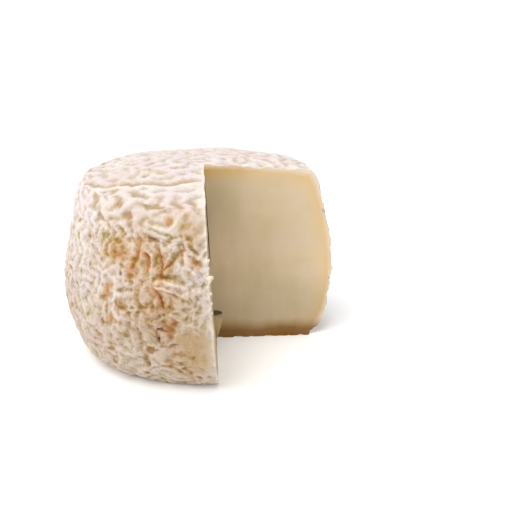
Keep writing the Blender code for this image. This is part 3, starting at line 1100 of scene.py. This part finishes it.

# %% Dry and ripe rind, with painted shade low down
DRY_TONES = (
    (0.0, colour(222, 216, 216)),
    (0.3, colour(217, 209, 207)),
    (0.6, colour(204, 192, 179)),
    (1.0, colour(179, 160, 132)),
)
RIPE_TONES = (
    (0.0, colour(209, 189, 168)),
    (0.3, colour(202, 179, 151)),
    (0.6, colour(189, 162, 121)),
    (1.0, colour(163, 130, 77)),
)
LOWER_SHADE_TONE = colour(235, 228, 213)
PINK_TONE = colour(253, 240, 244)
CREAM_TINT = colour(254, 251, 238)

dry = ramp(depth_of_fold, DRY_TONES)
ripened = ramp(depth_of_fold, RIPE_TONES)
tone = blend(uneven(field(tree, "ripe"), 5 * MM, 0.2), dry, ripened)
# Painted shade on the lower side: the tone is multiplied darker towards the bottom.
tone = blend(field(tree, "lower_shade"), tone, LOWER_SHADE_TONE, "MULTIPLY")
tone = blend(mottle(tree, 3 * MM, 1.0, 0.0, 0.7), tone, PINK_TONE, "MULTIPLY")
tone = blend(mottle(tree, 1.6 * MM, 1.0, 0.0, 0.6), tone, CREAM_TINT, "MULTIPLY")
print("rind nodes so far:", len(tree.nodes))

# %% Orange, olive and rusty places
ORANGE_TINT = colour(246, 207, 154)
OLIVE_TINT = colour(242, 238, 198)
RUST_TONE = colour(146, 84, 36)
OLIVE_IN_GROOVES = 0.8

blotches = mottle(tree, 1.4 * MM, 2.0, 0.55, 1.25)
in_groove = plus(times(field(tree, "groove"), OLIVE_IN_GROOVES), 1 - OLIVE_IN_GROOVES)
olive_share = times(times(field(tree, "olive"), blotches), in_groove)
tone = blend(olive_share, tone, OLIVE_TINT, "MULTIPLY")
tone = blend(times(field(tree, "orange"), blotches), tone, ORANGE_TINT, "MULTIPLY")
rust_share = share_ramp(field(tree, "rust"), (0.35, 0.0), (0.9, 0.9))
tone = blend(rust_share, tone, RUST_TONE)
print("rind nodes so far:", len(tree.nodes))

# %% Pale crests, the worn patch and the rim with its painted highlight
CREST_TONE = colour(232, 218, 196)
CREST_SHARE = 0.45
SMOOTH_TONE = colour(176, 145, 97)
WORN_TONE = colour(188, 160, 121)
RIM_AND_HIGHLIGHT_TONE = colour(232, 222, 212)
RIM_SLOPE = 0.4

tone = blend(times(field(tree, "crest"), CREST_SHARE), tone, CREST_TONE)
worn = blend(mottle(tree, 1.5 * MM, 3.0), SMOOTH_TONE, WORN_TONE)
worn_share = times(field(tree, "smooth"), mottle(tree, 1.2 * MM, 3.0, 0.4, 1.0))
tone = blend(worn_share, tone, worn)
# The pale rim along the cut is partly the rind's own pale edge and partly a painted highlight on it.
rim_place = uneven(times(field(tree, "from_cut"), RIM_SLOPE), MM, 0.05, detail=1.0)
rim_and_highlight = share_ramp(rim_place, (0.0, 0.8), (0.12, 0.7), (0.3, 0.35), (0.9, 0.0))
tone = blend(rim_and_highlight, tone, RIM_AND_HIGHLIGHT_TONE)
tree.links.new(tone, shader.inputs["Base Color"])
print("rind nodes:", len(tree.nodes))

# %% Surface of the rind
PIT_BUMP = 4.5
GRAIN_HEIGHT = 0.06 * MM

soft_surface(shader, roughness=0.8, weight=0.4, radius=(1.0, 0.75, 0.5), scale=0.8 * MM)
shader.inputs["Specular IOR Level"].default_value = 0.2
shader.inputs["Sheen Weight"].default_value = 0.2
shader.inputs["Sheen Roughness"].default_value = 0.5
rind_grain = plus(mottle(tree, 0.45 * MM, 4.0), mottle(tree, 0.15 * MM, 2.0, 0.0, 0.4))
rind_grain = calculate("SUBTRACT", rind_grain, times(pitted, PIT_BUMP))
bumps(shader, rind_grain, GRAIN_HEIGHT)
print("rind roughness:", round(shader.inputs["Roughness"].default_value, 2))

# %% [markdown]
# ## The paste's finish
#
# Just under the rind the paste has turned to a cream about two millimetres deep, more golden
# towards the corner. Along the foot of the back wall, where the cheese lay damp, it is a caramel
# band, darkened further by painted shade at the foot of the notch. Further in it is ivory, with
# the faint patches of pressed curd. Painted shade makes it darker the deeper it lies, and in the
# upper corner and low down, where shade falls in the notch. The cream follows the depth under the
# rind that the points carry, and the caramel band follows the height.

# %% Ivory paste
CORE_TONES = (
    (0.0, colour(216, 198, 160)),
    (0.5, colour(222, 202, 170)),
    (1.0, colour(225, 204, 178)),
)
HEART_SHADE_TONE = colour(238, 236, 230)
PAINTED_SHADE_TONE = colour(232, 232, 227)
HEART_SHADE_SLOPE = 0.05

tree, shader = start_material(paste)
core = ramp(mottle(tree, 4 * MM, 4.0), CORE_TONES)
depth_noise = uneven(field(tree, "under_rind"), 3 * MM, 0.5)
# Painted shade: the paste is made darker the deeper it lies under the rind, towards the notch's corner.
heart_shade_share = share_ramp(times(depth_noise, HEART_SHADE_SLOPE), (0.1, 0.0), (0.75, 1.0))
ivory = blend(heart_shade_share, core, HEART_SHADE_TONE, "MULTIPLY")
# Painted shade in the notch's upper corner and low down.
painted_shade_share = uneven(field(tree, "painted_shade"), 3 * MM, 0.1)
print("ivory nodes:", len(tree.nodes))

# %% Golden cream under the rind
CREAM_TONE = colour(228, 204, 164)
GOLD_TONE = colour(226, 186, 116)
SKIN_TONE = colour(234, 220, 204)
GOLD_REACH = 25 * MM
CREAM_SLOPE = 0.2
SKIN_SLOPE = 0.5

place = make(tree, "SeparateXYZ", {"Vector": here(tree)})
across = calculate("DIVIDE", place["X"], GOLD_REACH)
gold_share = share_ramp(uneven(across, 5 * MM, 0.1), (0.15, 1.0), (0.55, 0.25), (1.0, 0.5))
cream = blend(gold_share, CREAM_TONE, GOLD_TONE)
cream_share = share_ramp(times(depth_noise, CREAM_SLOPE), (0.0, 0.9), (0.35, 0.85), (1.0, 0.0))
tone = blend(cream_share, ivory, cream)
# Painted shade multiplies the tone there.
tone = blend(painted_shade_share, tone, PAINTED_SHADE_TONE, "MULTIPLY")
skin_depth = uneven(field(tree, "under_rind"), MM, 0.15)
skin_share = share_ramp(times(skin_depth, SKIN_SLOPE), (0.0, 1.0), (0.3, 0.85), (0.9, 0.0))
tone = blend(skin_share, tone, SKIN_TONE)
print("paste nodes so far:", len(tree.nodes))

# %% Caramel band and painted shade at the foot
CARAMEL_AND_SHADE_TONE = colour(122, 80, 2)
BAND_REACH = 8 * MM

# The band is partly the paste's own caramel colour and partly painted shade at the foot of the notch;
# its faint upper reach is painted shade.
foot_height = uneven(place["Z"], 4 * MM, 0.4 * MM, detail=3.0)
caramel_and_shade_share = share_ramp(calculate("DIVIDE", foot_height, BAND_REACH),
                        (0.0, 1.0), (0.2, 0.88), (0.34, 0.45), (0.48, 0.15), (1.0, 0.0))
tone = blend(times(caramel_and_shade_share, field(tree, "back")), tone, CARAMEL_AND_SHADE_TONE)
tree.links.new(tone, shader.inputs["Base Color"])
print("paste nodes:", len(tree.nodes))

# %% Surface of the paste
CURD_HEIGHT = 0.05 * MM

soft_surface(shader, roughness=0.5, weight=0.35, radius=(1.2, 0.8, 0.45), scale=1.2 * MM)
shader.inputs["Specular IOR Level"].default_value = 0.25
curd = plus(mottle(tree, 1.2 * MM, 4.0), mottle(tree, 0.3 * MM, 2.0, 0.0, 0.3))
bumps(shader, curd, CURD_HEIGHT)
print("paste roughness:", round(shader.inputs["Roughness"].default_value, 2))

# %% [markdown]
# ## Crumbs on the cut edge
#
# The blade left a few crumbs on the front edge of the cut, one of them nearly a millimetre
# large, and pressed a flat flake of paste into the corner by the foot. Each crumb is a small
# ball whose points are pushed in and out at random, half sunk in the edge.

# %% Model the crumbs
CRUMBS = (
    (25.0, 0.10, (0.50, 0.45, 0.68)),
    (22.1, 0.05, (0.26, 0.30, 0.34)),
    (20.2, 0.06, (0.24, 0.26, 0.28)),
    (28.4, 0.02, (0.22, 0.24, 0.34)),
    (27.0, 0.02, (0.18, 0.22, 0.22)),
    (18.3, 0.02, (0.16, 0.20, 0.24)),
)
CRUMB_ROUGHNESS = 0.2
CRUMB_SUNK = 0.35


def cut_edge(z):
    """The point of the left cut's front edge at a height."""
    radius = np.interp(z, outline_z[::-1], outline_r[::-1])
    x = left_wall(-radius, z)
    return Vector((x, -math.sqrt(radius ** 2 - x ** 2), z))


crumb_bm = bmesh.new()
for number, (z, aside, half_sizes) in enumerate(CRUMBS):
    ball = bmesh.ops.create_icosphere(crumb_bm, subdivisions=4, radius=1.0)["verts"]
    unit = np.array([vert.co for vert in ball])
    swell = 1 + CRUMB_ROUGHNESS * soft_noise(unit, 1.2, SEED + 60 + number)
    middle = cut_edge(z * MM) + Vector((aside, CRUMB_SUNK, 0)) * MM
    for vert, size in zip(ball, swell):
        vert.co = middle + Vector((vert.co.x * half_sizes[0], vert.co.y * half_sizes[1],
                                   vert.co.z * half_sizes[2])) * float(size) * MM
crumbs = object_from(crumb_bm, "edge_crumbs")
crumbs.data.shade_smooth()
print("crumbs:", len(CRUMBS), "with", len(crumbs.data.polygons), "triangles")

# %% Press the flake into the corner
FLAKE_CORNERS = ((-0.3, 4.5), (1.9, 4.2), (1.2, 2.3), (0.1, 0.05), (-0.3, 0.05))
FLAKE_THICKNESS = 0.45 * MM
FLAKE_ROUNDING = 0.12 * MM

flake_bm = bmesh.new()
sheet_corners = []
for x, z in FLAKE_CORNERS:
    corner = Vector((left_wall(0, z * MM), back_wall(z * MM), 0))
    sheet_corners.append(flake_bm.verts.new(Vector((x, 0.1, z)) * MM + corner))
sheet = flake_bm.faces.new(sheet_corners)
front = bmesh.ops.extrude_face_region(flake_bm, geom=[sheet])["geom"]
front = [item for item in front if isinstance(item, bmesh.types.BMVert)]
bmesh.ops.translate(flake_bm, verts=front, vec=(0, -FLAKE_THICKNESS, 0))
bmesh.ops.recalc_face_normals(flake_bm, faces=flake_bm.faces[:])
bmesh.ops.bevel(flake_bm, geom=flake_bm.edges[:], affect="EDGES", offset=FLAKE_ROUNDING, segments=3,
                profile=0.5, material=-1)
flake_piece = object_from(flake_bm, "corner_flake")
flake_piece.data.shade_smooth()
print("flake:", len(flake_piece.data.polygons), "faces")

# %% Finish the crumbs
CRUMB_TONES = (colour(216, 200, 174), colour(234, 224, 206))
FLAKE_TONES = (colour(186, 162, 112), colour(206, 184, 138))


def loose_paste(piece, name, tones, patch, grain, roughness):
    """Give a piece a finish of two tones in patches, and hand the piece over."""
    material = bpy.data.materials.new(name)
    tree, shader = start_material(material)
    tone = ramp(mottle(tree, patch), tuple(enumerate(tones)))
    tree.links.new(tone, shader.inputs["Base Color"])
    soft_surface(shader, roughness, weight=0.3, radius=(1.0, 0.75, 0.5), scale=0.6 * MM)
    bumps(shader, mottle(tree, grain), 0.04 * MM)
    piece.data.materials.append(material)
    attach(piece, "root")


loose_paste(crumbs, "crumb_paste", CRUMB_TONES, patch=0.6 * MM, grain=0.3 * MM, roughness=0.6)
loose_paste(flake_piece, "flake_paste", FLAKE_TONES, patch=1.0 * MM, grain=0.4 * MM, roughness=0.55)
print("loose pieces:", crumbs.name, flake_piece.name)

# %% [markdown]
# ## Handing it over
#
# The knife's edges stay sharp, and the rest is shaded smooth. The dressed cheese stands for the
# packed one, which is hidden, and rides on its only body. Its size is printed.

# %% Finish
KNIFE_ANGLE = math.radians(65)

cheese.data.shade_smooth()
cheese.data.set_sharp_from_angle(angle=KNIFE_ANGLE)
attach(cheese, "root")
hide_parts("crottin")

low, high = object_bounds()
print("dressed cheese, mm:", [round(size / MM, 2) for size in high - low])
